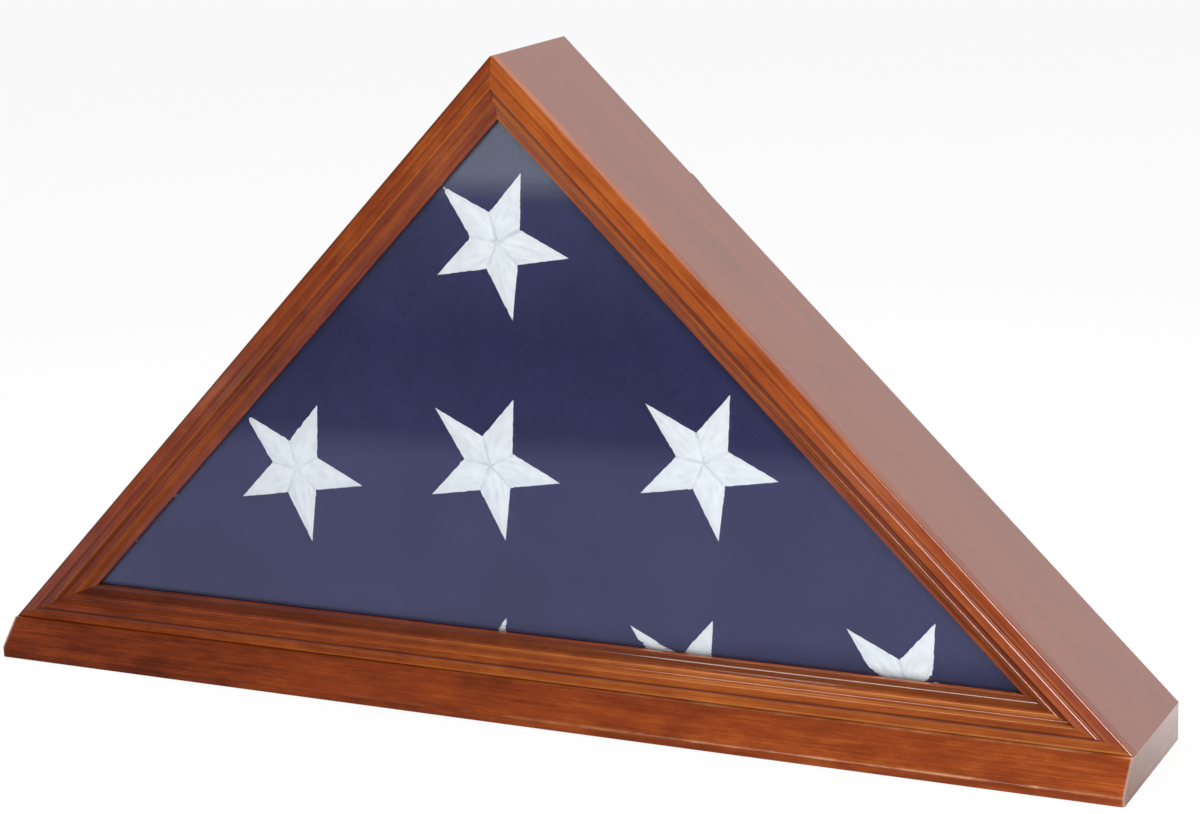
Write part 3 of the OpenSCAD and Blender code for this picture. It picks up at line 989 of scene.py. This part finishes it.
def front_of_cloth(x, z):
    """Where the cloth of the front lies along Y."""
    inset = inset_at(x, z)
    rounded = 0.0
    path = bundle_path()
    first = len(FRONT_RINGS)
    last = first + len(FRONT_ROUND)
    for (y0, inset0), (y1, inset1) in zip(path[first:last], path[first + 1 : last + 1]):
        if inset1 <= inset < inset0:
            rounded = y0 + (y1 - y0) * (inset0 - inset) / (inset0 - inset1)
    return FRONT + rounded + FRONT_WAVE + FRONT_WAVE * ripple(x, z)


def lay_on_cloth(made):
    """Raises the thread off the cloth, and runs a skirt from its edge into the cloth."""
    heights = made.data.attributes["height"]
    for point in made.data.vertices:
        cloth_y = front_of_cloth(point.co.x, point.co.z)
        point.co.y = cloth_y + SINK - heights.data[point.index].value
    bpy.ops.object.mode_set(mode="EDIT")
    bpy.ops.mesh.select_all(action="DESELECT")
    bpy.ops.mesh.select_mode(type="EDGE")
    bpy.ops.mesh.select_non_manifold()
    bpy.ops.mesh.extrude_edges_move(TRANSFORM_OT_translate={"value": (0, SKIRT, 0)})
    bpy.ops.mesh.select_mode(type="VERT")
    bpy.ops.object.mode_set(mode="OBJECT")


print("stars are cut", FOLD_MARGIN, "m inside the folds")


# %% All the stars
def place_star(x, z, number):
    """Copies the flat star to its place, stitches it, and cuts it at the folds."""
    made = template.copy()
    made.data = template.data.copy()
    made.name = f"embroidered_star_{number}"
    scene.collection.objects.link(made)
    only(made)
    stitch(made, number)
    made.rotation_euler = (0, -STAR_TURN, 0)
    made.location = (x, 0, z)
    bpy.ops.object.transform_apply()
    for point in made.data.vertices:
        point.co.x -= BIAS_PULL * max(0.0, point.co.z - z)
    cut_at_folds(made)
    return made


stars = []
for number, (x, z) in enumerate(star_places(), start=1):
    star = place_star(x, z, number)
    if star.data.polygons:
        lay_on_cloth(star)
        stars.append(star)
    else:
        bpy.data.objects.remove(star)
bpy.data.objects.remove(template)
bpy.ops.object.select_all(action="DESELECT")
for star in stars:
    star.select_set(True)
bpy.context.view_layer.objects.active = stars[0]
bpy.ops.object.join()
star_field = bpy.context.active_object
star_field.name = "embroidered_stars"
bpy.ops.object.shade_smooth_by_angle(angle=math.radians(60))
print("stars:", len(stars), "faces:", len(star_field.data.polygons))

# %% [markdown]
# ### White thread
#
# Satin stitch lies across each arm, a little slantwise. The UV map gives the place along and
# across the arm, ten times enlarged, so a sine of it makes one ridge for each stitch, on every
# arm alike. Shade gathers in the creases between the arms and in the puckers near the middle.


# %% Thread finish
STITCH_PITCH = 0.0045
# A crease leaves the middle of the star at half the angle between two arms.
CREASE_WAY = (0.588, 0.809)


def white_thread():
    """White satin stitch with bluish shade in its creases and puckers."""
    made, place = new_material("white_satin_stitch")
    lay = Wire(place.tree, place.tree.nodes.new("ShaderNodeUVMap").outputs["UV"])
    lay.socket.node.uv_map = "stitches"
    uneven = place.noise(900, 2) * 2.5
    turns = (2 * math.pi / STITCH_PITCH, 0.9 * math.pi / STITCH_PITCH, 0)
    ridges = (lay.along(turns) + uneven).sine() * 0.5 + 0.5
    strands = lay.stretched((900, 60, 1)).noise(1.0, 3, 0.6)
    shade = place.noise(160, 3, 0.5)
    tone = strands * 0.5 + shade * 0.4 + ridges * 0.12
    colour = tone.ramp((0.28, (0.66, 0.69, 0.725, 1)), (0.60, (0.89, 0.905, 0.935, 1)))
    wander = place.noise(170, 2, 0.5) * 0.024 - 0.012
    seam = lay.along((CREASE_WAY[0], 0, 0)) - lay.along((0, CREASE_WAY[1], 0)).size() + wander
    crease = (1 - seam.size().step(0.0, 0.014)) * place.noise(110, 2, 0.5).step(0.25, 0.7)
    puckers = lay.stretched((9, 55, 1)).noise(1.0, 2, 0.5).step(0.52, 0.70)
    puckers = puckers * (1 - lay.along((1, 0, 0)).step(0.08, 0.34))
    colour = colour.tint(crease * 0.55 + puckers * 0.28, (0.42, 0.46, 0.52, 1))
    principled(
        place,
        Base_Color=colour,
        Roughness=ridges * 0.15 + 0.5,
        Specular_IOR_Level=0.4,
        Sheen_Weight=0.2,
        Normal=(ridges * 0.4 + strands * 0.6).bump(0.00014, 0.8),
    )
    return made


star_field.data.materials.append(white_thread())
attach(star_field, "case")
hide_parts("flag_stars")
print("stars dressed")

# %% [markdown]
# ## Stage and light
#
# A plain white floor and plain soft light: a large key lamp at the right, a small one overhead
# and a long low one in front. The front lamp is mirrored only by faces that lean back, so it
# draws thin bright lines along the beads and ridges of the moulding.
#
# The camera sees floor and world as white. Mirrors see something else, as in a real room: dark
# in front of the case and bright behind it, and a floor in dark and bright bands. The bands
# give the pane its pale zone along the bottom and its pale patch at the peak. Light Path nodes
# tell the rays apart.


# %% Floor
FLOOR_SIZE, FLOOR_DROP = 12, 0.0005
bpy.ops.object.select_all(action="DESELECT")
bpy.ops.mesh.primitive_plane_add(size=FLOOR_SIZE, location=(0, 0, -FLOOR_DROP))
floor = bpy.context.active_object
floor.name = "floor"
pale_floor, place = new_material("pale_floor")
rays = place.tree.nodes.new("ShaderNodeLightPath")
seen = Wire(place.tree, rays.outputs["Is Camera Ray"])
mirrored = Wire(place.tree, rays.outputs["Is Glossy Ray"])
matt = place.node("ShaderNodeBsdfDiffuse", {}, {"Color": (0.55, 0.55, 0.55, 1)})
pale = place.node("ShaderNodeBsdfDiffuse", {}, {"Color": (0.90, 0.90, 0.90, 1)})
white = place.node("ShaderNodeEmission", {}, {"Color": (1, 1, 1, 1), "Strength": 1.0})
to_camera = matt.node("ShaderNodeMixShader", {}, {0: 0.88, 1: pale, 2: white})
depth = place.along((0.02, 0.2, 0)) + 0.5
sheen = depth.ramp(
    (0.0, (0.08, 0.08, 0.09, 1)),
    (0.05, (0.08, 0.08, 0.09, 1)),
    (0.08, (0.92, 1.00, 1.00, 1)),
    (0.165, (0.95, 1.00, 1.00, 1)),
    (0.20, (0.24, 0.26, 0.34, 1)),
    (0.33, (0.12, 0.12, 0.17, 1)),
    (0.385, (0.16, 0.17, 0.24, 1)),
    (0.40, (0.39, 0.38, 0.54, 1)),
    (0.466, (0.43, 0.42, 0.58, 1)),
    (0.48, (0.08, 0.07, 0.07, 1)),
    (0.50, (0.20, 0.20, 0.20, 1)),
    (0.524, (1, 1, 1, 1)),
)
to_mirror = place.node("ShaderNodeEmission", {}, {"Color": sheen, "Strength": 1.0})
surface = matt.node("ShaderNodeMixShader", {}, {0: seen, 1: matt, 2: to_camera})
surface = matt.node("ShaderNodeMixShader", {}, {0: mirrored, 1: surface, 2: to_mirror})
end = place.tree.nodes.new("ShaderNodeOutputMaterial")
place.tree.links.new(surface.socket, end.inputs["Surface"])
floor.data.materials.append(pale_floor)
print("floor ready")


# %% Lamps
def softbox(name, place, target, size, power):
    """A rectangular lamp that points at a target and stays out of the camera's sight."""
    lamp = bpy.data.lights.new(name, "AREA")
    lamp.shape = "RECTANGLE"
    lamp.size, lamp.size_y = size
    lamp.energy = power
    made = bpy.data.objects.new(name, lamp)
    aim = (Vector(target) - Vector(place)).to_track_quat("-Z", "Y")
    made.matrix_world = Matrix.Translation(place) @ aim.to_matrix().to_4x4()
    made.visible_camera = False
    scene.collection.objects.link(made)


softbox("key", (1.20, -1.08, 0.84), target=(0.2, 0, 0.10), size=(0.62, 0.62), power=25)
softbox("top", (-0.35, 0.15, 1.2), target=(0, 0, 0.1), size=(0.45, 0.35), power=7)
softbox("front", (-0.36, -1.36, 0.80), target=(0.15, 0, 0.04), size=(0.5, 0.22), power=3.6)
print("lamps ready")

# %% World
world = bpy.data.worlds.new("studio")
scene.world = world
world.use_nodes = True
tree = world.node_tree
tree.nodes.clear()
sky = Wire(tree, tree.nodes.new("ShaderNodeTexCoord").outputs["Generated"])
behind = sky.along((0, 0.5, 0)) + 0.5
mirrored = behind.ramp((0.0, 0.06), (0.55, 0.10), (0.75, 1.0))
path = tree.nodes.new("ShaderNodeLightPath")
camera_ray = Wire(tree, path.outputs["Is Camera Ray"])
glossy_ray = Wire(tree, path.outputs["Is Glossy Ray"])
through_ray = Wire(tree, path.outputs["Is Transmission Ray"])
plain = camera_ray.ramp((0.0, 0.62), (1.0, 1.0))
colour = plain.tint(glossy_ray, mirrored)
colour = colour.tint(through_ray, (1, 1, 1, 1))
background = sky.node("ShaderNodeBackground", {}, {"Color": colour, "Strength": 1.0})
output = tree.nodes.new("ShaderNodeOutputWorld")
tree.links.new(background.socket, output.inputs["Surface"])
print("world ready")
